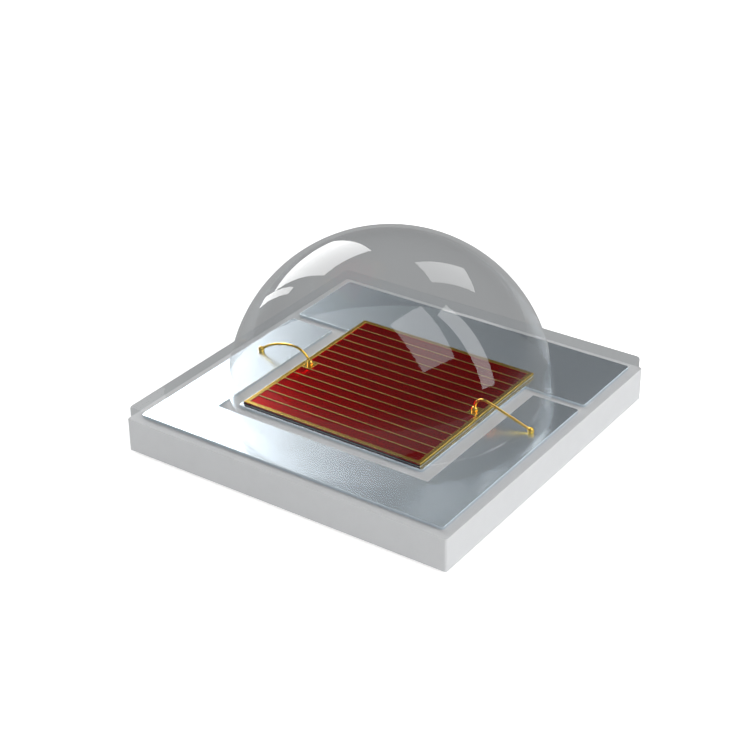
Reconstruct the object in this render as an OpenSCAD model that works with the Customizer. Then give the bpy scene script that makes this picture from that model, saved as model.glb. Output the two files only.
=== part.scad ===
// Ceramic-based horticulture LED with a moulded silicone dome lens.
// Millimetres. Z points up, the solder pads stand on z = 0, and the
// square body is centred on the z axis. The two bonded edges of the
// chip face -X and +X.

/* [Body] */

// Thickness of the ceramic base
ceramic_thickness = 0.33; // [0.2:0.01:0.8]
// Radius of the four upright corners of the ceramic
ceramic_corner_radius = 0.025; // [0.01:0.01:0.1]

/* [Top metal] */

// Thickness of the metal tracks on the ceramic
track_thickness = 0.03; // [0.02:0.005:0.05]
// Bare ceramic between the tracks and the edge of the base
track_margin = 0.095; // [0.05:0.005:0.15]
// Radius of the tracks' etched corners
track_corner_radius = 0.03; // [0.01:0.005:0.04]
// Width of each arm of the outer track
arm_width = 0.485; // [0.4:0.005:0.9]
// Die pad beyond the chip at each side
die_side_margin = 0.04; // [0.03:0.005:0.1]
// Die pad beyond the front of the chip
die_front_margin = 0.03; // [0.02:0.005:0.1]
// Width of the bare gap along each side of the die pad
side_gap = 0.14; // [0.08:0.01:0.18]
// Width of the bare gap in front of the die pad
front_gap = 0.125; // [0.08:0.005:0.16]
// Width of the gap behind each arm of the outer track
back_gap = 0.1; // [0.06:0.01:0.16]
// Distance from the centre to the back end of each arm
arm_back = 0.655; // [0.4:0.005:0.8]

/* [Bottom metal] */

// Thickness of the solder pads under the base
pad_thickness = 0.025; // [0.015:0.005:0.05]
// Distance from the edge of the base to the solder pads
pad_margin = 0.14; // [0.1:0.01:0.2]
// Front to back size of each of the two contact pads
contact_pad_length = 0.5; // [0.35:0.01:0.55]
// Gap between the heat pad and each contact pad
pad_gap = 0.3; // [0.2:0.01:0.4]
// Number of filled vias under each contact
via_count = 5; // [3:1:6]
// Distance between neighbouring vias
via_pitch = 0.55; // [0.3:0.01:0.55]
// Radius of each filled via
via_radius = 0.06; // [0.04:0.005:0.1]

/* [Chip] */

// Side of the square chip
chip_width = 1.94; // [1.6:0.01:2.5]
// Thickness of the solder layer under the chip
attach_thickness = 0.004; // [0.003:0.001:0.015]
// Thickness of the chip's dark carrier
carrier_thickness = 0.012; // [0.01:0.001:0.03]
// Thickness of the bright metal layer on the carrier
mirror_thickness = 0.003; // [0.002:0.001:0.005]
// Thickness of the red light-emitting layer
emitter_thickness = 0.004; // [0.003:0.001:0.008]
// Height of the gold rail above the red layer
rail_height = 0.01; // [0.008:0.001:0.02]
// Height of the gold fingers and bond pads above the red layer
finger_height = 0.006; // [0.004:0.001:0.008]
// Width of the gold rail round the chip's top edge
rail_width = 0.04; // [0.03:0.005:0.06]
// Number of gold fingers between the two side rails
finger_count = 13; // [5:1:15]
// Width of each finger
finger_width = 0.015; // [0.01:0.001:0.025]
// Width of the gold plating down each bonded side of the chip
side_plating = 0.006; // [0.005:0.001:0.01]
// Size of each gold bond pad from the rail towards the middle
bond_pad_width = 0.1; // [0.08:0.01:0.14]

/* [Bond wires] */

// Diameter of the gold bond wire
wire_diameter = 0.025; // [0.018:0.001:0.03]
// Diameter of the ball at each end of a wire
ball_diameter = 0.06; // [0.05:0.002:0.07]
// Height of a ball's centre above the surface it is bonded to
ball_lift = 0.02; // [0.015:0.001:0.022]
// Distance from the outer edge of each arm to the centre of the outer ball
outer_ball_margin = 0.165; // [0.1:0.005:0.3]
// Height of each wire's highest point above the chip
loop_height = 0.155; // [0.12:0.005:0.2]
// Distance from the left wire's inner ball to its highest point
left_reach = 0.185; // [0.13:0.005:0.25]
// Bend radius at the top of the right wire
right_bend = 0.1; // [0.07:0.005:0.11]

/* [Lens] */

// Radius of the lens dome
dome_radius = 1.51; // [1.45:0.01:1.55]
// Height of the dome's centre above the bottom of the flat layer
dome_centre = 0.066; // [0.05:0.001:0.09]
// Thickness of the flat layer moulded with the dome
flat_thickness = 0.122; // [0.115:0.001:0.2]
// Radius of the hollow blend between the dome and the flat layer
blend_radius = 0.04; // [0.02:0.005:0.06]
// Distance from the ceramic's edge to the lens wall
lens_inset = 0.012; // [0.005:0.001:0.02]
// Radius of the lens' upright corners
lens_corner_radius = 0.05; // [0.04:0.005:0.08]

/* [Hidden] */

$fn = 96;
cut_over = 0.05;

ceramic_top = pad_thickness + ceramic_thickness;
track_top = ceramic_top + track_thickness;
attach_top = track_top + attach_thickness;
carrier_top = attach_top + carrier_thickness;
mirror_top = carrier_top + mirror_thickness;
emitter_top = mirror_top + emitter_thickness;
rail_top = emitter_top + rail_height;
chip_top = emitter_top + finger_height;
flat_top = ceramic_top + flat_thickness;

die_pad_edge = chip_width / 2 + die_side_margin;
die_pad_front = chip_width / 2 + die_front_margin;
arm_edge = die_pad_edge + side_gap;
strip_edge = die_pad_front + front_gap;
track_edge = arm_edge + arm_width;
body_width = 2 * (track_edge + track_margin);
back_edge = arm_back + back_gap;

pad_edge = body_width / 2 - pad_margin;
contact_inner = pad_edge - contact_pad_length;
heat_edge = contact_inner - pad_gap;
via_row = pad_edge - contact_pad_length / 2;

body_depth = chip_width - 2 * side_plating;
rail_inner = chip_width / 2 - rail_width;
finger_pitch = 2 * rail_inner / (finger_count + 1);
bond_pad_length = finger_pitch;
bond_pad_centre = rail_inner - bond_pad_width / 2;

ball_radius = ball_diameter / 2;
wire_radius = wire_diameter / 2;
span = track_edge - outer_ball_margin - bond_pad_centre;
outer_drop = chip_top - track_top;

// Plan of a plate from x0, y0 to x1, y1 with rounded corners
module round_plan(x0, y0, x1, y1, r) {
    translate([x0 + r, y0]) square([x1 - x0 - 2 * r, y1 - y0]);
    translate([x0, y0 + r]) square([x1 - x0, y1 - y0 - 2 * r]);
    for (x = [x0 + r, x1 - r], y = [y0 + r, y1 - r])
        translate([x, y]) circle(r);
}

// Square plate centred on the z axis
module centred_plate(width, bottom, top) {
    translate([-width / 2, -width / 2, bottom])
        cube([width, width, top - bottom]);
}

// Places of the vias along one contact
function via_x(number) = (number - (via_count + 1) / 2) * via_pitch;

module via_holes() {
    for (number = [1:via_count], side = [-1, 1])
        translate([via_x(number), side * via_row, pad_thickness - cut_over])
            cylinder(r = via_radius, h = ceramic_thickness + 2 * cut_over);
}

module filled_via(number, side) {
    color("#b87a4a")
        if (number <= via_count)
            translate([via_x(number), side * via_row, pad_thickness])
                cylinder(r = via_radius, h = ceramic_thickness);
}

// White ceramic base, drilled for the vias
module ceramic_substrate() {
    color("#eceeee")
        difference() {
            translate([0, 0, pad_thickness])
                linear_extrude(ceramic_thickness)
                    round_plan(-body_width / 2, -body_width / 2,
                               body_width / 2, body_width / 2,
                               ceramic_corner_radius);
            via_holes();
        }
}

// Outer track: two arms joined by a strip along the front
module outer_track() {
    color("#c9d2d8")
        translate([0, 0, ceramic_top])
            linear_extrude(track_thickness)
                difference() {
                    round_plan(-track_edge, -track_edge, track_edge, arm_back,
                               track_corner_radius);
                    translate([-arm_edge, -strip_edge])
                        square([2 * arm_edge, arm_back + strip_edge + cut_over]);
                }
}

// Die pad: the chip's seat, widened to a bar along the back
module die_pad() {
    color("#c3ccd2")
        translate([0, 0, ceramic_top])
            linear_extrude(track_thickness) {
                round_plan(-track_edge, back_edge, track_edge, track_edge,
                           track_corner_radius);
                round_plan(-die_pad_edge, -die_pad_front,
                           die_pad_edge, track_edge - track_corner_radius,
                           track_corner_radius);
            }
}

module solder_pad(y0, y1) {
    color("#d8d2b8")
        linear_extrude(pad_thickness)
            round_plan(-pad_edge, y0, pad_edge, y1, track_corner_radius);
}

module heat_pad() { solder_pad(-heat_edge, heat_edge); }
module front_contact_pad() { solder_pad(-pad_edge, -contact_inner); }
module back_contact_pad() { solder_pad(contact_inner, pad_edge); }

module die_solder() {
    color("#9a9ea2")
        centred_plate(chip_width, track_top, attach_top);
}

// One layer of the chip, as wide as the plating on its two sides leaves it
module chip_layer(bottom, top) {
    translate([-body_depth / 2, -chip_width / 2, bottom])
        cube([body_depth, chip_width, top - bottom]);
}

module chip_carrier() { color("#141412") chip_layer(attach_top, carrier_top); }
module chip_mirror() { color("#2a2418") chip_layer(carrier_top, mirror_top); }
module chip_emitter() { color("#a01216") chip_layer(mirror_top, emitter_top); }

module bond_pad(side) {
    translate([side * bond_pad_centre - bond_pad_width / 2,
               side * finger_pitch / 2 - bond_pad_length / 2])
        square([bond_pad_width, bond_pad_length]);
}

// Plan of the gold rail round the chip's top edge
module rail_plan() {
    difference() {
        square(chip_width, center = true);
        square(2 * rail_inner, center = true);
    }
}

// Gold contact: rail, fingers, bond pads and the plating on the two sides
module contact_grid() {
    color("#d9a53a") {
        translate([0, 0, emitter_top])
            linear_extrude(rail_height) rail_plan();
        translate([0, 0, emitter_top])
            linear_extrude(finger_height) {
                rail_plan();
                for (number = [1:finger_count])
                    translate([0, number * finger_pitch - rail_inner])
                        square([2 * rail_inner + rail_width, finger_width],
                               center = true);
                bond_pad(-1);
                bond_pad(1);
            }
        for (side = [-1, 1])
            translate([side * (chip_width - side_plating) / 2 - side_plating / 2,
                       -chip_width / 2, attach_top])
                cube([side_plating, chip_width, rail_top - attach_top]);
    }
}

// Half of an arched wire, from its top at [x, z] down and outwards
module arch_half(x, z, reach, drop) {
    bend = (reach * reach + drop * drop) / (2 * drop);
    translate([x, z - bend, 0])
        rotate([0, 0, 90])
            mirror([0, 1, 0])
                rotate_extrude(angle = atan2(reach, bend - drop))
                    translate([bend, 0]) circle(wire_radius);
}

// Wire arched all the way from the inner ball to the outer ball
module arched_run(reach) {
    top = loop_height - wire_radius;
    rotate([90, 0, 0]) {
        arch_half(reach, top, span - reach, top + outer_drop - ball_lift);
        translate([2 * reach, 0, 0])
            mirror([1, 0, 0])
                arch_half(reach, top, reach, top - ball_lift);
    }
}

// Wire round one tight bend, then straight down to the outer ball
module bent_run(bend) {
    bend_z = loop_height - wire_radius - bend;
    rise = ball_lift - bend_z;
    bend_x = sqrt(bend * bend - max(rise, 0) * max(rise, 0));
    fall = bend_z + outer_drop - ball_lift;
    reach = norm([span - bend_x, fall]);
    angle = atan2(fall, span - bend_x) + asin(bend / reach);
    start = asin(max(rise, 0) / bend);
    rotate([90, 0, 0]) {
        translate([bend_x, bend_z, 0]) {
            rotate([0, 0, 90 - angle])
                rotate_extrude(angle = 90 + angle - start)
                    translate([bend, 0]) circle(wire_radius);
            rotate([0, 0, -angle])
                translate([0, bend, 0])
                    rotate([0, 90, 0])
                        cylinder(r = wire_radius, h = sqrt(reach * reach - bend * bend));
        }
        if (rise < 0)
            translate([0, ball_lift, 0])
                rotate([-90, 0, 0])
                    cylinder(r = wire_radius, h = -rise);
    }
}

// Ball flattened on the surface at z = 0
module bond_ball() {
    intersection() {
        translate([0, 0, ball_lift]) sphere(ball_radius);
        translate([-ball_diameter, -ball_diameter, 0])
            cube(2 * ball_diameter);
    }
}

// The balls at both ends of a wire
module bond_balls() {
    bond_ball();
    translate([span, 0, -outer_drop]) bond_ball();
}

module left_bond_wire() {
    color("#e0ad3c")
        translate([-bond_pad_centre, -finger_pitch / 2, chip_top])
            rotate([0, 0, 180]) {
                bond_balls();
                arched_run(left_reach);
            }
}

module right_bond_wire() {
    color("#e0ad3c")
        translate([bond_pad_centre, finger_pitch / 2, chip_top]) {
            bond_balls();
            bent_run(right_bend);
        }
}

// Dome turned in one piece with the hollow blend at its foot
module dome() {
    centre_z = ceramic_top + dome_centre;
    foot_z = flat_top + blend_radius;
    foot_x = sqrt(pow(dome_radius + blend_radius, 2) - pow(foot_z - centre_z, 2));
    rotate_extrude() {
        intersection() {
            translate([0, centre_z]) circle(dome_radius);
            translate([0, ceramic_top]) square(2 * dome_radius);
        }
        difference() {
            polygon([[0, centre_z], [foot_x, flat_top - cut_over / 2],
                     [foot_x, flat_top], [foot_x, foot_z]]);
            translate([foot_x, foot_z]) circle(blend_radius);
        }
    }
}

// Flat layer moulded over the tracks, with round upright corners
module flat_layer() {
    edge = body_width / 2 - lens_inset;
    translate([0, 0, ceramic_top])
        linear_extrude(flat_thickness)
            round_plan(-edge, -edge, edge, edge, lens_corner_radius);
}

// One moulded piece: dome and flat layer, shaped to all that it covers
module silicone_lens() {
    color("#dfe6ea", 0.35)
        difference() {
            union() {
                flat_layer();
                dome();
            }
            outer_track();
            die_pad();
            die_solder();
            chip_layer(attach_top, emitter_top);
            contact_grid();
            left_bond_wire();
            right_bond_wire();
        }
}

ceramic_substrate();
outer_track();
die_pad();
heat_pad();
front_contact_pad();
back_contact_pad();
filled_via(1, -1);  // front_via_1
filled_via(2, -1);  // front_via_2
filled_via(3, -1);  // front_via_3
filled_via(4, -1);  // front_via_4
filled_via(5, -1);  // front_via_5
filled_via(1, 1);  // back_via_1
filled_via(2, 1);  // back_via_2
filled_via(3, 1);  // back_via_3
filled_via(4, 1);  // back_via_4
filled_via(5, 1);  // back_via_5
die_solder();
chip_carrier();
chip_mirror();
chip_emitter();
contact_grid();
left_bond_wire();
right_bond_wire();
silicone_lens();
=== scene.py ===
import math

import bpy
from mathutils import Matrix, Vector


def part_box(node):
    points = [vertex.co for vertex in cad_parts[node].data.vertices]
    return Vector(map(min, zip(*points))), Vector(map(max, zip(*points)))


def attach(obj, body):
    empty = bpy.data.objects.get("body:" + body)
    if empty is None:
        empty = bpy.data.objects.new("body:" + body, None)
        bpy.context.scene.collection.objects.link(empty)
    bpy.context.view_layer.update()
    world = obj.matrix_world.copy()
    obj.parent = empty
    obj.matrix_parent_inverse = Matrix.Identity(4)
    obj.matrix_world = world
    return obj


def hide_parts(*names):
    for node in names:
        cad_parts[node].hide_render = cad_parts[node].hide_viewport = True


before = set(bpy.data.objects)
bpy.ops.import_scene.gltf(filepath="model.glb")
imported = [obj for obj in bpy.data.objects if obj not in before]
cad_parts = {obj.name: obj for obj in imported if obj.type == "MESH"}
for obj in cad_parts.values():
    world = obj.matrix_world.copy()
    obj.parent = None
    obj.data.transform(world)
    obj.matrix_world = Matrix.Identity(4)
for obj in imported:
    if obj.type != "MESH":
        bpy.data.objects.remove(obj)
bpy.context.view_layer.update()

bl_info = {
    "name": "Horticulture LED",
    "version": (1, 0, 0),
    "blender": (4, 5, 0),
    "location": "View3D > Sidebar > LED",
    "description": "Dresses the solid model of a ceramic LED with a dome lens",
    "category": "Object",
}

MM = 0.001
BODY = "root"

CERAMIC_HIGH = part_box("ceramic_substrate")[1]
TRACK_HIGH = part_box("outer_track")[1]
GRID_LOW, GRID_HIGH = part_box("contact_grid")
EMITTER_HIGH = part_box("chip_emitter")[1]
LENS_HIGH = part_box("silicone_lens")[1]


# Settings

def length(name, description, default):
    return bpy.props.FloatProperty(name=name, description=description,
                                   default=default, min=0.0, precision=6,
                                   unit="LENGTH", subtype="DISTANCE")


def colour(name, description, default):
    return bpy.props.FloatVectorProperty(name=name, description=description,
                                         default=default, size=3, min=0.0,
                                         max=1.0, subtype="COLOR")


class LedLensSettings(bpy.types.PropertyGroup):
    dome_radius: length("Dome radius", "Radius of the lens dome", 1.51 * MM)
    dome_centre: length("Dome centre", "Height of the dome's centre over the "
                        "lens' underside", 0.066 * MM)
    flat_thickness: length("Flat thickness", "Thickness of the flat layer",
                           0.122 * MM)
    blend_radius: length("Blend radius", "Hollow blend at the dome's foot",
                         0.04 * MM)
    corner_radius: length("Corner radius", "Upright corners of the flat layer",
                          0.05 * MM)
    edge_radius: length("Edge radius", "Rounding of the flat layer's top edge",
                        0.018 * MM)
    sink: length("Sink", "Depth of the lens' underside in the ceramic",
                 0.003 * MM)
    around: bpy.props.IntProperty(name="Steps around", default=192, min=24,
                                  description="Sides of the dome's rings")
    rings: bpy.props.IntProperty(name="Rings", default=64, min=8,
                                 description="Rings from foot to top")


class LedGridSettings(bpy.types.PropertyGroup):
    rail_width: length("Rail width", "Width of the gold rail", 0.04 * MM)
    finger_height: length("Finger height", "Height of fingers and bond pads",
                          0.006 * MM)
    finger_width: length("Finger width", "Width of each finger", 0.015 * MM)
    pad_width: length("Bond pad width", "Bond pad from the rail inwards",
                      0.1 * MM)
    plating: length("Side plating", "Gold down each bonded side", 0.006 * MM)
    finger_count: bpy.props.IntProperty(name="Fingers", default=13, min=1,
                                        description="Fingers between rails")


class LedWireSettings(bpy.types.PropertyGroup):
    wire_diameter: length("Wire diameter", "Diameter of the wire", 0.025 * MM)
    ball_diameter: length("Ball diameter", "Diameter of each ball", 0.06 * MM)
    ball_lift: length("Ball lift", "Ball centre over its seat", 0.02 * MM)
    outer_ball: length("Outer ball", "Outer ball from the middle", 1.47 * MM)
    loop_height: length("Loop height", "Top of the loop over the pad",
                        0.155 * MM)
    left_reach: length("Left reach", "Inner ball to the loop's top",
                       0.185 * MM)
    right_bend: length("Right bend", "Bend radius of the right wire",
                       0.1 * MM)


class LedFinishSettings(bpy.types.PropertyGroup):
    ceramic: colour("Ceramic", "Fired white ceramic", (0.62, 0.63, 0.64))
    silver: colour("Silver", "Plated tracks", (0.77, 0.86, 0.93))
    solder_gold: colour("Solder gold", "Flash on the solder pads",
                        (0.80, 0.62, 0.30))
    copper: colour("Copper", "Filled vias", (0.72, 0.38, 0.20))
    solder: colour("Solder", "Solder under the chip", (0.50, 0.52, 0.54))
    carrier: colour("Carrier", "Sawn chip carrier", (0.006, 0.006, 0.006))
    mirror: colour("Mirror", "Chip mirror's edge", (0.05, 0.035, 0.015))
    red: colour("Red", "Red light-emitting layer", (0.86, 0.004, 0.002))
    gold: colour("Gold", "Rail, bond pads and wires", (1.0, 0.68, 0.13))
    finger: colour("Finger gold", "Thin fingers over the emitter",
                   (0.32, 0.19, 0.04))
    # Painted shade: each far side of the lens greys what is seen through it,
    # and the flat layer's far side does the same more lightly.
    lens_painted_shade: colour("Lens painted shade", "What each far side of the lens lets "
                      "through", (0.69, 0.71, 0.72))
    layer_painted_shade: colour("Layer painted shade", "The same for the flat layer",
                       (0.85, 0.88, 0.9))


class LedStudioSettings(bpy.types.PropertyGroup):
    camera_place: bpy.props.FloatVectorProperty(
        name="Camera place", description="Where the camera stands", size=3,
        default=(8.010 * MM, -11.677 * MM, 8.496 * MM),
        subtype="TRANSLATION", unit="LENGTH")
    azimuth: bpy.props.FloatProperty(
        name="Azimuth", description="Camera's turn round the object",
        default=math.radians(35.029), subtype="ANGLE", unit="ROTATION")
    elevation: bpy.props.FloatProperty(
        name="Elevation", description="Camera's angle above the horizon",
        default=math.radians(29.313), subtype="ANGLE", unit="ROTATION")
    roll: bpy.props.FloatProperty(
        name="Roll", description="Camera's tilt", subtype="ANGLE",
        default=math.radians(-0.629), unit="ROTATION")
    focal_length: bpy.props.FloatProperty(
        name="Focal length", description="Lens of the camera in millimetres",
        default=84.04)
    lamp_distance: length("Lamp distance", "From the object to each lamp",
                          50 * MM)
    lamp_level: bpy.props.FloatProperty(
        name="Lamp level", description="Brightness of each lamp's face",
        default=3.3)
    tent_front: bpy.props.FloatProperty(
        name="Tent front", description="Grey of the tent behind the camera",
        default=0.12)
    tent_back: bpy.props.FloatProperty(
        name="Tent back", description="Grey of the tent behind the object",
        default=0.06)
    horizon: bpy.props.FloatProperty(
        name="Horizon", description="Grey added where the tent meets the floor",
        default=0.2)


# Mesh helpers

def mm(value):
    """A size in metres as the millimetres that the pieces are shaped in."""
    return value / MM


def deselect():
    if bpy.context.mode != "OBJECT":
        bpy.ops.object.mode_set(mode="OBJECT")
    bpy.ops.object.select_all(action="DESELECT")


def make_active(piece):
    deselect()
    piece.select_set(True)
    bpy.context.view_layer.objects.active = piece


def edit(piece, kind):
    make_active(piece)
    bpy.ops.object.mode_set(mode="EDIT")
    bpy.ops.mesh.select_mode(type=kind)
    bpy.ops.mesh.select_all(action="DESELECT")
    bpy.ops.object.mode_set(mode="OBJECT")


def pick_faces(piece, test):
    """Selects the faces whose centre and normal pass the test."""
    edit(piece, "FACE")
    for face in piece.data.polygons:
        face.select = test(face.center, face.normal)
    bpy.ops.object.mode_set(mode="EDIT")


def pick_edges(piece, test):
    """Selects the edges whose two ends pass the test."""
    edit(piece, "EDGE")
    points = piece.data.vertices
    for line in piece.data.edges:
        a, b = (points[i].co for i in line.vertices)
        line.select = test(a, b)
    bpy.ops.object.mode_set(mode="EDIT")


def block(low, high):
    """A box from one corner to the other, ready to be shaped."""
    deselect()
    middle = [(a + b) / 2 for a, b in zip(low, high)]
    bpy.ops.mesh.primitive_cube_add(size=1, location=middle)
    piece = bpy.context.object
    piece.scale = [b - a for a, b in zip(low, high)]
    bpy.ops.object.transform_apply(location=True, rotation=True, scale=True)
    return piece


def join(pieces):
    deselect()
    for piece in pieces:
        piece.select_set(True)
    bpy.context.view_layer.objects.active = pieces[0]
    bpy.ops.object.join()
    return bpy.context.object


def round_edges(piece, width, segments, angle=math.radians(40)):
    make_active(piece)
    bevel = piece.modifiers.new("Bevel", "BEVEL")
    bevel.width = width
    bevel.segments = segments
    bevel.limit_method = "ANGLE"
    bevel.angle_limit = angle
    bevel.harden_normals = False
    bpy.ops.object.modifier_apply(modifier=bevel.name)


def outward(piece):
    edit(piece, "FACE")
    bpy.ops.object.mode_set(mode="EDIT")
    bpy.ops.mesh.select_all(action="SELECT")
    bpy.ops.mesh.normals_make_consistent(inside=False)
    bpy.ops.object.mode_set(mode="OBJECT")


def smooth(piece, angle):
    """Shades round parts smooth and keeps the broad faces flat."""
    make_active(piece)
    bpy.ops.object.shade_smooth_by_angle(angle=math.radians(angle))
    weighted = piece.modifiers.new("Weighted normals", "WEIGHTED_NORMAL")
    weighted.weight = 100
    weighted.keep_sharp = True
    bpy.ops.object.modifier_apply(modifier=weighted.name)


def to_size(piece, name):
    """Shrinks a piece from millimetres to its real size and names it."""
    make_active(piece)
    piece.scale = (MM, MM, MM)
    bpy.ops.object.transform_apply(location=True, rotation=True, scale=True)
    piece.name = name
    piece.data.name = name


def place(piece, slot, *nodes):
    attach(piece, BODY)
    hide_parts(*nodes)


def softened_copy(node, name, width, segments):
    """A copy of a CAD node with its sharp edges rounded."""
    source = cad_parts[node]
    piece = bpy.data.objects.new(name, source.data.copy())
    bpy.context.scene.collection.objects.link(piece)
    piece.matrix_world = source.matrix_world.copy()
    make_active(piece)
    bpy.ops.object.transform_apply(location=True, rotation=True, scale=True)
    piece.scale = (1 / MM, 1 / MM, 1 / MM)
    bpy.ops.object.transform_apply(location=False, rotation=False, scale=True)
    edit(piece, "VERT")
    bpy.ops.object.mode_set(mode="EDIT")
    bpy.ops.mesh.select_all(action="SELECT")
    bpy.ops.mesh.remove_doubles(threshold=1e-5)
    bpy.ops.mesh.dissolve_limited(angle_limit=math.radians(1))
    bpy.ops.object.mode_set(mode="OBJECT")
    round_edges(piece, width, segments)
    smooth(piece, 30)
    to_size(piece, name)
    return piece


# Shader helpers

def new_material(name):
    """A material with only its output and one Principled BSDF."""
    material = bpy.data.materials.new(name)
    material.use_nodes = True
    tree = material.node_tree
    tree.nodes.clear()
    output = tree.nodes.new("ShaderNodeOutputMaterial")
    surface = tree.nodes.new("ShaderNodeBsdfPrincipled")
    tree.links.new(surface.outputs["BSDF"], output.inputs["Surface"])
    return material, tree, surface


def grain_group():
    """Fine grain: a mask, a height and a colour shift over the surface."""
    group = bpy.data.node_groups.get("Fine grain")
    if group:
        return group
    group = bpy.data.node_groups.new("Fine grain", "ShaderNodeTree")
    face = group.interface
    for name, value in (("Grain size", 0.02 * MM), ("Streak", 1.0),
                        ("Spread", 0.1)):
        socket = face.new_socket(name=name, in_out="INPUT",
                                 socket_type="NodeSocketFloat")
        socket.default_value = value
    base = face.new_socket(name="Colour", in_out="INPUT",
                           socket_type="NodeSocketColor")
    base.default_value = (0.8, 0.8, 0.8, 1.0)
    face.new_socket(name="Colour", in_out="OUTPUT",
                    socket_type="NodeSocketColor")
    face.new_socket(name="Mask", in_out="OUTPUT",
                    socket_type="NodeSocketFloat")
    nodes, links = group.nodes, group.links
    source = nodes.new("NodeGroupInput")
    target = nodes.new("NodeGroupOutput")
    place_on = nodes.new("ShaderNodeTexCoord")
    stretch = nodes.new("ShaderNodeCombineXYZ")
    stretched = nodes.new("ShaderNodeVectorMath")
    stretched.operation = "MULTIPLY"
    per_grain = nodes.new("ShaderNodeMath")
    per_grain.operation = "DIVIDE"
    per_grain.inputs[0].default_value = 1.0
    noise = nodes.new("ShaderNodeTexNoise")
    noise.inputs["Detail"].default_value = 4.0
    coarse = nodes.new("ShaderNodeTexNoise")
    coarse.inputs["Detail"].default_value = 3.0
    wide = nodes.new("ShaderNodeMath")
    wide.operation = "MULTIPLY"
    wide.inputs[1].default_value = 0.12
    blend = nodes.new("ShaderNodeMath")
    blend.operation = "MULTIPLY_ADD"
    blend.inputs[1].default_value = 0.5
    halved = nodes.new("ShaderNodeMath")
    halved.operation = "MULTIPLY"
    halved.inputs[1].default_value = 0.5
    level = nodes.new("ShaderNodeMapRange")
    level.inputs["From Min"].default_value = 0.3
    level.inputs["From Max"].default_value = 0.7
    shade = nodes.new("ShaderNodeMath")
    shade.operation = "MULTIPLY_ADD"
    shift = nodes.new("ShaderNodeMath")
    shift.operation = "SUBTRACT"
    shift.inputs[1].default_value = 0.5
    tint = nodes.new("ShaderNodeVectorMath")
    tint.operation = "SCALE"
    shade.inputs[2].default_value = 1.0
    stretch.inputs["Y"].default_value = 1.0
    stretch.inputs["Z"].default_value = 1.0
    links.new(source.outputs["Streak"], stretch.inputs["X"])
    links.new(place_on.outputs["Object"], stretched.inputs[0])
    links.new(stretch.outputs[0], stretched.inputs[1])
    links.new(source.outputs["Grain size"], per_grain.inputs[1])
    links.new(per_grain.outputs[0], noise.inputs["Scale"])
    links.new(per_grain.outputs[0], wide.inputs[0])
    links.new(wide.outputs[0], coarse.inputs["Scale"])
    links.new(stretched.outputs[0], noise.inputs["Vector"])
    links.new(stretched.outputs[0], coarse.inputs["Vector"])
    links.new(noise.outputs["Fac"], blend.inputs[0])
    links.new(coarse.outputs["Fac"], halved.inputs[0])
    links.new(halved.outputs[0], blend.inputs[2])
    links.new(blend.outputs[0], level.inputs["Value"])
    links.new(level.outputs["Result"], target.inputs["Mask"])
    links.new(level.outputs["Result"], shift.inputs[0])
    links.new(shift.outputs[0], shade.inputs[0])
    links.new(source.outputs["Spread"], shade.inputs[1])
    links.new(source.outputs["Colour"], tint.inputs[0])
    links.new(shade.outputs[0], tint.inputs["Scale"])
    links.new(tint.outputs[0], target.inputs["Colour"])
    return group


def grained(name, tone, grain, streak=1.0, spread=0.1, metallic=0.0,
            smooth_at=0.3, rough_at=0.4, bump=0.2, depth=0.0005):
    """A finish with fine grain in its colour, roughness and bump."""
    material, tree, surface = new_material(name)
    nodes, links = tree.nodes, tree.links
    group = nodes.new("ShaderNodeGroup")
    group.node_tree = grain_group()
    group.inputs["Grain size"].default_value = grain
    group.inputs["Streak"].default_value = streak
    group.inputs["Spread"].default_value = spread
    group.inputs["Colour"].default_value = (*tone, 1.0)
    rough = nodes.new("ShaderNodeMapRange")
    rough.inputs["To Min"].default_value = smooth_at
    rough.inputs["To Max"].default_value = rough_at
    raised = nodes.new("ShaderNodeBump")
    raised.inputs["Strength"].default_value = bump
    raised.inputs["Distance"].default_value = depth * MM
    links.new(group.outputs["Colour"], surface.inputs["Base Color"])
    links.new(group.outputs["Mask"], rough.inputs["Value"])
    links.new(rough.outputs["Result"], surface.inputs["Roughness"])
    links.new(group.outputs["Mask"], raised.inputs["Height"])
    links.new(raised.outputs["Normal"], surface.inputs["Normal"])
    surface.inputs["Metallic"].default_value = metallic
    return material, tree, surface


def ceramic_finish(finish):
    return grained("Fired ceramic", finish.ceramic, 0.012 * MM, spread=0.05,
                   smooth_at=0.55, rough_at=0.7, bump=0.35,
                   depth=0.0008)[0]


def silver_finish(finish):
    return grained("Silver plating", finish.silver, 0.05 * MM, spread=0.03,
                   metallic=1.0, smooth_at=0.262, rough_at=0.27, bump=0.001,
                   depth=0.0002)[0]


def solder_gold_finish(finish):
    return grained("Solder pad plating", finish.solder_gold, 0.02 * MM,
                   spread=0.08, metallic=1.0, smooth_at=0.28, rough_at=0.42,
                   bump=0.25, depth=0.0006)[0]


def copper_finish(finish):
    return grained("Via copper", finish.copper, 0.015 * MM, spread=0.15,
                   metallic=1.0, smooth_at=0.3, rough_at=0.5, bump=0.3,
                   depth=0.0008)[0]


def solder_finish(finish):
    return grained("Die solder", finish.solder, 0.004 * MM, spread=0.15,
                   metallic=1.0, smooth_at=0.3, rough_at=0.5, bump=0.3,
                   depth=0.0004)[0]


def carrier_finish(finish):
    return grained("Sawn carrier", finish.carrier, 0.004 * MM, streak=0.1,
                   spread=0.3, smooth_at=0.35, rough_at=0.55, bump=0.3,
                   depth=0.0003)[0]


def mirror_finish(finish):
    return grained("Chip mirror", finish.mirror, 0.004 * MM, spread=0.2,
                   metallic=1.0, smooth_at=0.25, rough_at=0.4, bump=0.1,
                   depth=0.0002)[0]


def red_finish(finish):
    material, tree, surface = grained(
        "Red emitter", finish.red, 0.2 * MM, spread=0.06, metallic=1.0,
        smooth_at=0.158, rough_at=0.164, bump=0.002, depth=0.0002)
    surface.inputs["Specular Tint"].default_value = (1.0, 0.10, 0.06, 1.0)
    return material


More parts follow.
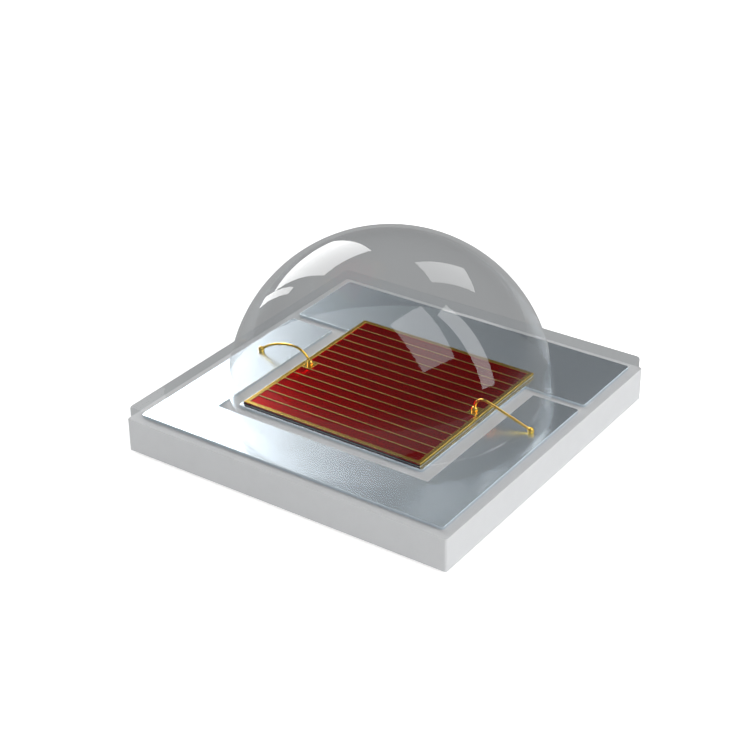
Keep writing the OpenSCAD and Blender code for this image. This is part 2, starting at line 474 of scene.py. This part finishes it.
def gold_finish(finish):
    return grained("Bright gold", finish.gold, 0.01 * MM, spread=0.05,
                   metallic=1.0, smooth_at=0.17, rough_at=0.18, bump=0.004,
                   depth=0.0002)[0]


def finger_finish(finish):
    return grained("Thin gold", finish.finger, 0.01 * MM, spread=0.08,
                   metallic=1.0, smooth_at=0.33, rough_at=0.36, bump=0.01,
                   depth=0.0002)[0]


def clear_finish(name, tint):
    """Clear silicone: straight through, glossy outside, shadow free. Its far
    sides carry painted shade that greys what is seen through them.
    """
    material, tree, surface = new_material(name)
    nodes, links = tree.nodes, tree.links
    output = next(n for n in nodes if n.type == "OUTPUT_MATERIAL")
    surface.inputs["Transmission Weight"].default_value = 1.0
    surface.inputs["Roughness"].default_value = 0.0
    surface.inputs["IOR"].default_value = 1.001
    surface.inputs["Coat Roughness"].default_value = 0.01
    surface.inputs["Coat IOR"].default_value = 1.55
    paths = nodes.new("ShaderNodeLightPath")
    side = nodes.new("ShaderNodeNewGeometry")
    far_side = nodes.new("ShaderNodeMath")
    far_side.operation = "MULTIPLY"
    gloss = nodes.new("ShaderNodeMapRange")
    gloss.inputs["To Min"].default_value = 1.0
    gloss.inputs["To Max"].default_value = 0.12
    # painted shade: rays passing through meet the far sides with the grey as
    # base colour, so the lens darkens what lies behind it
    far_side_painted_shade = nodes.new("ShaderNodeMix")
    far_side_painted_shade.data_type = "RGBA"
    far_side_painted_shade.inputs["A"].default_value = (1.0, 1.0, 1.0, 1.0)
    far_side_painted_shade.inputs["B"].default_value = (*tint, 1.0)
    unseen = nodes.new("ShaderNodeMath")
    unseen.operation = "MAXIMUM"
    through = nodes.new("ShaderNodeBsdfTransparent")
    mixed = nodes.new("ShaderNodeMixShader")
    links.new(side.outputs["Backfacing"], gloss.inputs["Value"])
    place_on = nodes.new("ShaderNodeTexCoord")
    apart = nodes.new("ShaderNodeSeparateXYZ")
    raised = nodes.new("ShaderNodeMapRange")
    raised.inputs["From Min"].default_value = 0.478 * MM
    raised.inputs["From Max"].default_value = 0.50 * MM
    raised.inputs["To Min"].default_value = 0.15
    raised.inputs["To Max"].default_value = 1.0
    glossy = nodes.new("ShaderNodeMath")
    glossy.operation = "MULTIPLY"
    links.new(place_on.outputs["Object"], apart.inputs[0])
    links.new(apart.outputs["Z"], raised.inputs["Value"])
    links.new(raised.outputs["Result"], glossy.inputs[0])
    links.new(gloss.outputs["Result"], glossy.inputs[1])
    links.new(glossy.outputs[0], surface.inputs["Coat Weight"])
    links.new(side.outputs["Backfacing"], far_side.inputs[0])
    links.new(paths.outputs["Is Transmission Ray"], far_side.inputs[1])
    links.new(far_side.outputs[0], far_side_painted_shade.inputs["Factor"])
    links.new(far_side_painted_shade.outputs["Result"], surface.inputs["Base Color"])
    links.new(paths.outputs["Is Shadow Ray"], unseen.inputs[0])
    links.new(paths.outputs["Is Diffuse Ray"], unseen.inputs[1])
    links.new(unseen.outputs[0], mixed.inputs[0])
    links.new(surface.outputs["BSDF"], mixed.inputs[1])
    links.new(through.outputs[0], mixed.inputs[2])
    links.new(mixed.outputs[0], output.inputs["Surface"])
    return material


def dress(piece, *materials):
    piece.data.materials.clear()
    for material in materials:
        piece.data.materials.append(material)


# Operators

class LED_OT_base(bpy.types.Operator):
    """Rounds and finishes the ceramic base"""
    bl_idname = "led.base"
    bl_label = "Ceramic base"

    def execute(self, context):
        finish = context.scene.led_finish
        piece = softened_copy("ceramic_substrate", "white_ceramic_base",
                              0.006, 2)
        dress(piece, ceramic_finish(finish))
        place(piece, "white_ceramic", "ceramic_substrate")
        return {"FINISHED"}


class LED_OT_tracks(bpy.types.Operator):
    """Rounds and finishes the silver tracks and the solder pads"""
    bl_idname = "led.tracks"
    bl_label = "Tracks and solder pads"

    def execute(self, context):
        finish = context.scene.led_finish
        silver = silver_finish(finish)
        for node, name in (("outer_track", "silver_outer_track"),
                           ("die_pad", "silver_die_pad")):
            piece = softened_copy(node, name, 0.004, 2)
            dress(piece, silver)
            place(piece, "silver_plating", node)
        flash = solder_gold_finish(finish)
        for node in ("heat_pad", "front_contact_pad", "back_contact_pad"):
            piece = softened_copy(node, "plated_" + node, 0.004, 2)
            dress(piece, flash)
            place(piece, "solder_plating", node)
        copper = copper_finish(finish)
        for node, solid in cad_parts.items():
            if "_via_" in node:
                dress(solid, copper)
        return {"FINISHED"}


class LED_OT_chip(bpy.types.Operator):
    """Finishes the layers of the chip"""
    bl_idname = "led.chip"
    bl_label = "Chip layers"

    def execute(self, context):
        finish = context.scene.led_finish
        for node, material in (("die_solder", solder_finish(finish)),
                               ("chip_carrier", carrier_finish(finish)),
                               ("chip_mirror", mirror_finish(finish)),
                               ("chip_emitter", red_finish(finish))):
            dress(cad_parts[node], material)
        return {"FINISHED"}


class LED_OT_grid(bpy.types.Operator):
    """Models the gold rail, fingers, bond pads and side plating"""
    bl_idname = "led.grid"
    bl_label = "Gold contact grid"

    def execute(self, context):
        sizes = context.scene.led_grid
        half = mm(GRID_HIGH[0])
        floor = mm(EMITTER_HIGH[2])
        rail_top = mm(GRID_HIGH[2])
        low = mm(GRID_LOW[2])
        rail = mm(sizes.rail_width)
        inner = half - rail
        pitch = 2 * inner / (sizes.finger_count + 1)
        top = floor + mm(sizes.finger_height)

        frame_piece = block((-half, -half, floor), (half, half, rail_top))
        pick_faces(frame_piece, lambda c, n: n.z > 0.9 or n.z < -0.9)
        bpy.ops.mesh.inset(thickness=rail, use_even_offset=True)
        bpy.ops.mesh.bridge_edge_loops()
        bpy.ops.object.mode_set(mode="OBJECT")
        outward(frame_piece)
        round_edges(frame_piece, 0.003, 2)

        parts = [frame_piece]
        width = mm(sizes.finger_width)
        for number in range(1, sizes.finger_count + 1):
            y = number * pitch - inner
            finger = block((-inner - rail / 3, y - width / 2, floor),
                           (inner + rail / 3, y + width / 2, top))
            round_edges(finger, 0.002, 2)
            parts.append(finger)
        pad = mm(sizes.pad_width)
        for side in (-1, 1):
            x = side * (inner - pad / 2)
            y = side * pitch / 2
            square = block((x - pad / 2, y - pitch / 2, floor),
                           (x + pad / 2, y + pitch / 2, top + 0.001))
            round_edges(square, 0.003, 2)
            parts.append(square)
        plate = mm(sizes.plating)
        for side in (-1, 1):
            x = side * (half - plate / 2)
            wall = block((x - plate / 2, -half, low),
                         (x + plate / 2, half, rail_top - 0.004))
            parts.append(wall)
        piece = join(parts)
        smooth(piece, 35)
        to_size(piece, "gold_contact_grid")
        finish = context.scene.led_finish
        # Painted shade: the carrier's black finish goes on the gold's outer
        # faces towards ±Y.
        dress(piece, gold_finish(finish), bpy.data.materials["Sawn carrier"],
              finger_finish(finish))
        for face in piece.data.polygons:
            spot = face.center / MM
            if (max(abs(spot.x), abs(spot.y)) < inner
                    and spot.z < top + 0.0005):
                face.material_index = 2
            # Painted shade: outer faces towards ±Y take the black carrier
            # finish instead of gold.
            if (abs(face.normal.y) > 0.9
                    and abs(face.center.y) > GRID_HIGH[1] - 0.002 * MM):
                face.material_index = 1
        place(piece, "contact_gold", "contact_grid")
        return {"FINISHED"}


def ball(x, lift, radius):
    """A bonded ball, cut flat on its seat."""
    deselect()
    bpy.ops.mesh.primitive_uv_sphere_add(segments=32, ring_count=20,
                                         radius=radius,
                                         location=(x, 0, lift))
    piece = bpy.context.object
    bpy.ops.object.transform_apply(location=True)
    edit(piece, "FACE")
    bpy.ops.object.mode_set(mode="EDIT")
    bpy.ops.mesh.select_all(action="SELECT")
    bpy.ops.mesh.bisect(plane_co=(0, 0, 0), plane_no=(0, 0, 1),
                        use_fill=True, clear_inner=True, threshold=1e-6)
    bpy.ops.object.mode_set(mode="OBJECT")
    return piece


def wire_start(x, z, radius, lean):
    """The round end of a wire, a disc that leans by an angle."""
    deselect()
    bpy.ops.mesh.primitive_circle_add(vertices=20, radius=radius,
                                      fill_type="NGON", location=(x, 0, z))
    piece = bpy.context.object
    piece.rotation_euler = (0, lean, 0)
    bpy.ops.object.transform_apply(location=True, rotation=True)
    bpy.ops.object.mode_set(mode="EDIT")
    bpy.ops.mesh.select_mode(type="FACE")
    bpy.ops.mesh.select_all(action="SELECT")
    return piece


def turn_wire(centre, angle, steps):
    """Sweeps the wire's end about a level axis, over the top and down."""
    bpy.ops.mesh.spin(steps=steps, angle=angle, axis=(0, -1, 0),
                      center=(centre[0], 0, centre[1]))


class LED_OT_wires(bpy.types.Operator):
    """Models the two bond wires with their balls"""
    bl_idname = "led.wires"
    bl_label = "Bond wires"

    def finish_wire(self, parts, turn, origin, name, node, gold):
        piece = join(parts)
        outward(piece)
        smooth(piece, 60)
        make_active(piece)
        piece.matrix_world = (Matrix.Translation(origin)
                              @ Matrix.Rotation(turn, 4, "Z"))
        bpy.ops.object.transform_apply(location=True, rotation=True)
        to_size(piece, name)
        dress(piece, gold)
        place(piece, "wire_gold", node)

    def execute(self, context):
        sizes = context.scene.led_wires
        grid = context.scene.led_grid
        gold = bpy.data.materials["Bright gold"]
        inner = mm(GRID_HIGH[0]) - mm(grid.rail_width)
        pitch = 2 * inner / (grid.finger_count + 1)
        pad = inner - mm(grid.pad_width) / 2
        seat = mm(EMITTER_HIGH[2]) + mm(grid.finger_height)
        drop = seat - mm(TRACK_HIGH[2])
        span = mm(sizes.outer_ball) - pad
        radius = mm(sizes.wire_diameter) / 2
        lift = mm(sizes.ball_lift)
        ball_radius = mm(sizes.ball_diameter) / 2
        top = mm(sizes.loop_height) - radius

        def balls():
            far = ball(span, lift, ball_radius)
            far.location.z = -drop
            make_active(far)
            bpy.ops.object.transform_apply(location=True)
            return [ball(0, lift, ball_radius), far]

        # the left wire is arched all the way
        reach = mm(sizes.left_reach)
        fall = top - lift
        bend = (reach ** 2 + fall ** 2) / (2 * fall)
        turn = math.atan2(reach, bend - fall)
        far_reach = span - reach
        far_fall = top + drop - lift
        far_bend = (far_reach ** 2 + far_fall ** 2) / (2 * far_fall)
        far_turn = math.atan2(far_reach, far_bend - far_fall)
        wire = wire_start(0, lift, radius, math.pi / 2 - turn)
        turn_wire((reach, top - bend), turn, 14)
        turn_wire((reach, top - far_bend), far_turn, 24)
        bpy.ops.object.mode_set(mode="OBJECT")
        self.finish_wire([wire] + balls(), math.pi, (-pad, -pitch / 2, seat),
                         "gold_wire_left", "left_bond_wire", gold)

        # the right wire has one tight bend and a straight run
        bend = mm(sizes.right_bend)
        height = top - bend
        rise = lift - height
        across = math.sqrt(bend ** 2 - max(rise, 0) ** 2)
        fall = height + drop - lift
        reach = math.hypot(span - across, fall)
        slope = math.atan2(fall, span - across) + math.asin(bend / reach)
        begin = math.asin(max(rise, 0) / bend)
        run = math.sqrt(reach ** 2 - bend ** 2)
        wire = wire_start(0, lift, radius, begin)
        if rise < 0:
            bpy.ops.mesh.extrude_region_move(
                TRANSFORM_OT_translate={"value": (0, 0, -rise)})
        turn_wire((across, height), math.pi / 2 + slope - begin, 20)
        bpy.ops.mesh.extrude_region_move(TRANSFORM_OT_translate={
            "value": (run * math.cos(slope), 0, -run * math.sin(slope))})
        bpy.ops.object.mode_set(mode="OBJECT")
        self.finish_wire([wire] + balls(), 0.0, (pad, pitch / 2, seat),
                         "gold_wire_right", "right_bond_wire", gold)
        return {"FINISHED"}


class LED_OT_lens(bpy.types.Operator):
    """Models the dome and the flat layer in one piece"""
    bl_idname = "led.lens"
    bl_label = "Silicone lens"

    def profile(self, sizes, base):
        """Radius and height of each ring, from the foot to near the top."""
        centre = base + mm(sizes.dome_centre)
        dome = mm(sizes.dome_radius)
        blend = mm(sizes.blend_radius)
        foot_z = base + mm(sizes.flat_thickness) + blend
        foot_x = math.sqrt((dome + blend) ** 2 - (foot_z - centre) ** 2)
        tangent = math.atan2(foot_z - centre, foot_x)
        rings = []
        steps = 8
        for i in range(steps + 1):
            angle = -math.pi / 2 - (math.pi / 2 - tangent) * i / steps
            rings.append((foot_x + blend * math.cos(angle),
                          foot_z + blend * math.sin(angle)))
        for i in range(1, sizes.rings):
            angle = tangent + (math.pi / 2 - tangent) * i / sizes.rings
            rings.append((dome * math.cos(angle),
                          centre + dome * math.sin(angle)))
        return rings, centre + dome

    def execute(self, context):
        sizes = context.scene.led_lens
        base = mm(CERAMIC_HIGH[2])
        edge = mm(LENS_HIGH[0])
        flat_top = base + mm(sizes.flat_thickness)
        slab = block((-edge, -edge, base - mm(sizes.sink)),
                     (edge, edge, flat_top))
        pick_edges(slab, lambda a, b: abs(a.z - b.z) > 0.01)
        bpy.ops.mesh.bevel(offset=mm(sizes.corner_radius), segments=8)
        pick_faces(slab, lambda c, n: n.z > 0.9)
        bpy.ops.mesh.bevel(offset=mm(sizes.edge_radius), segments=5)
        pick_faces(slab, lambda c, n: n.z > 0.99)
        bpy.ops.mesh.delete(type="FACE")
        bpy.ops.object.mode_set(mode="OBJECT")

        rings, top = self.profile(sizes, base)
        deselect()
        bpy.ops.mesh.primitive_circle_add(vertices=sizes.around,
                                          radius=rings[0][0],
                                          location=(0, 0, rings[0][1]))
        dome = bpy.context.object
        bpy.ops.object.transform_apply(location=True)
        bpy.ops.object.mode_set(mode="EDIT")
        bpy.ops.mesh.select_mode(type="VERT")
        bpy.ops.mesh.select_all(action="SELECT")
        for (r0, z0), (r1, z1) in zip(rings, rings[1:]):
            bpy.ops.mesh.extrude_edges_move(
                TRANSFORM_OT_translate={"value": (0, 0, z1 - z0)})
            bpy.ops.transform.resize(value=(r1 / r0, r1 / r0, 1),
                                     center_override=(0, 0, z1))
        bpy.ops.mesh.extrude_edges_move(
            TRANSFORM_OT_translate={"value": (0, 0, top - rings[-1][1])})
        bpy.ops.mesh.merge(type="CENTER")
        bpy.ops.object.mode_set(mode="OBJECT")

        piece = join([slab, dome])
        pick_edges(piece, lambda a, b: False)
        bpy.ops.mesh.select_non_manifold()
        bpy.ops.mesh.fill(use_beauty=True)
        bpy.ops.object.mode_set(mode="OBJECT")
        outward(piece)
        finish = context.scene.led_finish
        dress(piece, clear_finish("Clear silicone dome", finish.lens_painted_shade),
              clear_finish("Clear silicone layer", finish.layer_painted_shade))
        for face in piece.data.polygons:
            on_dome = (face.center.z > flat_top + 1e-4
                       and face.center.xy.length < rings[0][0])
            face.material_index = 0 if on_dome else 1
        smooth(piece, 50)
        to_size(piece, "clear_silicone_lens")
        place(piece, "clear_silicone", "silicone_lens")
        return {"FINISHED"}


def sky(azimuth, elevation):
    """Direction to a lamp; azimuth runs from +Y towards +X."""
    a, e = math.radians(azimuth), math.radians(elevation)
    return Vector((math.sin(a) * math.cos(e), math.cos(a) * math.cos(e),
                   math.sin(e)))


def softbox(name, azimuth, elevation, wide, tall, turn, settings, level=1.0):
    """A flat lamp that faces the object and fills the given angles.

    turn leans its top to the left, as seen from the object.
    """
    light = bpy.data.lights.new(name, "AREA")
    light.shape = "RECTANGLE"
    light.size = 2 * settings.lamp_distance * math.tan(math.radians(wide) / 2)
    light.size_y = 2 * settings.lamp_distance * math.tan(
        math.radians(tall) / 2)
    light.energy = (settings.lamp_level * level * 4 * light.size
                    * light.size_y)
    lamp = bpy.data.objects.new(name, light)
    bpy.context.scene.collection.objects.link(lamp)
    direction = sky(azimuth, elevation)
    lamp.location = direction * settings.lamp_distance
    facing = (direction.to_track_quat("Z", "Y").to_matrix()
              @ Matrix.Rotation(math.radians(-turn), 3, "Z"))
    lamp.rotation_euler = facing.to_euler()
    lamp.visible_camera = False
    return lamp


def seen_ray(tree):
    """One where a ray comes from the camera, gloss or clear pieces."""
    paths = tree.nodes.new("ShaderNodeLightPath")
    first = tree.nodes.new("ShaderNodeMath")
    first.operation = "MAXIMUM"
    second = tree.nodes.new("ShaderNodeMath")
    second.operation = "MAXIMUM"
    tree.links.new(paths.outputs["Is Camera Ray"], first.inputs[0])
    tree.links.new(paths.outputs["Is Glossy Ray"], first.inputs[1])
    tree.links.new(first.outputs[0], second.inputs[0])
    tree.links.new(paths.outputs["Is Transmission Ray"], second.inputs[1])
    return second.outputs[0]


class LED_OT_studio(bpy.types.Operator):
    """Sets up the floor, the tent, the lamps, the world and the camera"""
    bl_idname = "led.studio"
    bl_label = "Studio"

    def floor(self):
        deselect()
        bpy.ops.mesh.primitive_circle_add(vertices=96, radius=0.4,
                                          fill_type="NGON")
        floor = bpy.context.object
        floor.name = "studio_floor"
        material, tree, surface = new_material("Studio floor")
        output = next(n for n in tree.nodes if n.type == "OUTPUT_MATERIAL")
        surface.inputs["Base Color"].default_value = (0.8, 0.8, 0.8, 1.0)
        surface.inputs["Roughness"].default_value = 1.0
        surface.inputs["Specular IOR Level"].default_value = 0.0
        glow = tree.nodes.new("ShaderNodeEmission")
        strength = tree.nodes.new("ShaderNodeMath")
        strength.operation = "MULTIPLY"
        strength.inputs[1].default_value = 0.72
        both = tree.nodes.new("ShaderNodeAddShader")
        paths = tree.nodes.new("ShaderNodeLightPath")
        through = tree.nodes.new("ShaderNodeMix")
        through.data_type = "RGBA"
        through.inputs["A"].default_value = (0.8, 0.8, 0.8, 1.0)
        through.inputs["B"].default_value = (0.2, 0.205, 0.21, 1.0)
        place_on = tree.nodes.new("ShaderNodeTexCoord")
        apart = tree.nodes.new("ShaderNodeSeparateXYZ")
        ahead = tree.nodes.new("ShaderNodeMapRange")
        ahead.inputs["From Min"].default_value = -2.2 * MM
        ahead.inputs["From Max"].default_value = -0.2 * MM
        ahead.inputs["To Min"].default_value = 0.5
        ahead.inputs["To Max"].default_value = 0.36
        dimmed = tree.nodes.new("ShaderNodeMapRange")
        dimmed.inputs["To Min"].default_value = 1.0
        tree.links.new(place_on.outputs["Object"], apart.inputs[0])
        tree.links.new(apart.outputs["Y"], ahead.inputs["Value"])
        tree.links.new(ahead.outputs["Result"], dimmed.inputs["To Max"])
        second_hand = tree.nodes.new("ShaderNodeMath")
        second_hand.operation = "MAXIMUM"
        tree.links.new(paths.outputs["Is Glossy Ray"],
                       second_hand.inputs[0])
        tree.links.new(paths.outputs["Is Transmission Ray"],
                       second_hand.inputs[1])
        tree.links.new(second_hand.outputs[0], through.inputs["Factor"])
        tree.links.new(through.outputs["Result"],
                       surface.inputs["Base Color"])
        tree.links.new(second_hand.outputs[0], dimmed.inputs["Value"])
        tree.links.new(seen_ray(tree), strength.inputs[0])
        tree.links.new(strength.outputs[0], glow.inputs["Strength"])
        tree.links.new(dimmed.outputs["Result"], glow.inputs["Color"])
        tree.links.new(surface.outputs["BSDF"], both.inputs[0])
        tree.links.new(glow.outputs[0], both.inputs[1])
        tree.links.new(both.outputs[0], output.inputs["Surface"])
        dress(floor, material)

    def tent(self, settings):
        deselect()
        radius = 0.09
        bpy.ops.mesh.primitive_uv_sphere_add(segments=48, ring_count=24,
                                             radius=radius)
        tent = bpy.context.object
        tent.name = "studio_tent"
        edit(tent, "FACE")
        bpy.ops.object.mode_set(mode="EDIT")
        bpy.ops.mesh.select_all(action="SELECT")
        bpy.ops.mesh.bisect(plane_co=(0, 0, 0), plane_no=(0, 0, 1),
                            clear_inner=True)
        bpy.ops.object.mode_set(mode="OBJECT")
        material, tree, surface = new_material("Studio tent")
        output = next(n for n in tree.nodes if n.type == "OUTPUT_MATERIAL")
        tree.nodes.remove(surface)
        place_on = tree.nodes.new("ShaderNodeTexCoord")
        apart = tree.nodes.new("ShaderNodeSeparateXYZ")
        level = tree.nodes.new("ShaderNodeMapRange")
        level.inputs["From Min"].default_value = -0.5 * radius
        level.inputs["From Max"].default_value = 0.8 * radius
        level.inputs["To Min"].default_value = settings.tent_front
        level.inputs["To Max"].default_value = settings.tent_back
        low = tree.nodes.new("ShaderNodeMapRange")
        low.inputs["From Max"].default_value = 0.25 * radius
        low.inputs["To Min"].default_value = settings.horizon
        low.inputs["To Max"].default_value = 0.0
        summed = tree.nodes.new("ShaderNodeMath")
        glow = tree.nodes.new("ShaderNodeEmission")
        tree.links.new(place_on.outputs["Object"], apart.inputs[0])
        tree.links.new(apart.outputs["Y"], level.inputs["Value"])
        tree.links.new(apart.outputs["Z"], low.inputs["Value"])
        tree.links.new(level.outputs["Result"], summed.inputs[0])
        tree.links.new(low.outputs["Result"], summed.inputs[1])
        tree.links.new(summed.outputs[0], glow.inputs["Strength"])
        tree.links.new(glow.outputs[0], output.inputs["Surface"])
        dress(tent, material)
        tent.visible_camera = False
        tent.visible_shadow = False

    def world(self, scene):
        world = bpy.data.worlds.new("Studio world")
        scene.world = world
        world.use_nodes = True
        tree = world.node_tree
        tree.nodes.clear()
        output = tree.nodes.new("ShaderNodeOutputWorld")
        sky_node = tree.nodes.new("ShaderNodeBackground")
        level = tree.nodes.new("ShaderNodeMapRange")
        level.inputs["To Min"].default_value = 0.3
        level.inputs["To Max"].default_value = 1.0
        tree.links.new(seen_ray(tree), level.inputs["Value"])
        tree.links.new(level.outputs["Result"], sky_node.inputs["Strength"])
        tree.links.new(sky_node.outputs[0], output.inputs["Surface"])

    def camera(self, scene, settings):
        data = bpy.data.cameras.new("photo_camera")
        camera = bpy.data.objects.new("photo_camera", data)
        scene.collection.objects.link(camera)
        a, e, r = settings.azimuth, settings.elevation, settings.roll
        back = Vector((math.sin(a) * math.cos(e), -math.cos(a) * math.cos(e),
                       math.sin(e)))
        right = Vector((math.cos(a), math.sin(a), 0))
        up = back.cross(right)
        side = right * math.cos(r) + up * math.sin(r)
        top = up * math.cos(r) - right * math.sin(r)
        camera.matrix_world = (Matrix.Translation(settings.camera_place)
                               @ Matrix((side, top, back)).transposed()
                               .to_4x4())
        data.lens = settings.focal_length
        data.sensor_width = 36.0
        data.clip_start = 0.5 * MM
        data.clip_end = 2.0
        data.dof.use_dof = False
        scene.camera = camera

    def execute(self, context):
        settings = context.scene.led_studio
        self.floor()
        self.tent(settings)
        self.world(context.scene)
        for name, azimuth, elevation, wide, tall, turn, level in (
                ("window_left", -60, 25, 25, 34, 0, 1.1),
                ("strip_left", -76, 12, 4, 25, 22, 1.0),
                ("strip_right", 67, 35, 12, 52, 14, 0.85),
                ("window_right", 103, 57, 26, 39, 0, 0.65),
                ("window_back", 5, 45.5, 18, 25, 21, 0.75)):
            window = softbox(name, azimuth, elevation, wide, tall, turn,
                             settings, level)
            window.visible_diffuse = name != "window_back"
        # seen only by rays that leave the metal through the lens
        glow = softbox("glow_left", -57.4, 27, 28, 44, 14, settings, 0.36)
        glow.visible_glossy = False
        glow.visible_diffuse = False
        # light the matt ceramic and stay out of every reflection
        for name, azimuth, level in (("fill_front", 180, 0.6),
                                     ("fill_right", 80, 0.78)):
            fill = softbox(name, azimuth, 12, 70, 24, 0, settings, level)
            fill.visible_glossy = False
            fill.visible_transmission = False
        self.camera(context.scene, settings)
        context.scene.view_settings.view_transform = "Standard"
        return {"FINISHED"}


class LED_PT_panel(bpy.types.Panel):
    bl_label = "Horticulture LED"
    bl_idname = "LED_PT_panel"
    bl_space_type = "VIEW_3D"
    bl_region_type = "UI"
    bl_category = "LED"

    def draw(self, context):
        layout = self.layout
        for step in STEPS:
            layout.operator(step.bl_idname)
        for group in ("led_lens", "led_grid", "led_wires", "led_finish",
                      "led_studio"):
            box = layout.box()
            settings = getattr(context.scene, group)
            for name in settings.__annotations__:
                box.prop(settings, name)


STEPS = (LED_OT_base, LED_OT_tracks, LED_OT_chip, LED_OT_grid, LED_OT_wires,
         LED_OT_lens, LED_OT_studio)
GROUPS = {"led_lens": LedLensSettings, "led_grid": LedGridSettings,
          "led_wires": LedWireSettings, "led_finish": LedFinishSettings,
          "led_studio": LedStudioSettings}


def register():
    for kind in (*GROUPS.values(), *STEPS, LED_PT_panel):
        bpy.utils.register_class(kind)
    for name, kind in GROUPS.items():
        setattr(bpy.types.Scene, name, bpy.props.PointerProperty(type=kind))


def unregister():
    for name in GROUPS:
        delattr(bpy.types.Scene, name)
    for kind in reversed((*GROUPS.values(), *STEPS, LED_PT_panel)):
        bpy.utils.unregister_class(kind)


def main():
    register()
    bpy.ops.led.base()
    bpy.ops.led.tracks()
    bpy.ops.led.chip()
    bpy.ops.led.grid()
    bpy.ops.led.wires()
    bpy.ops.led.lens()
    bpy.ops.led.studio()
    deselect()


if __name__ == "__main__":
    main()
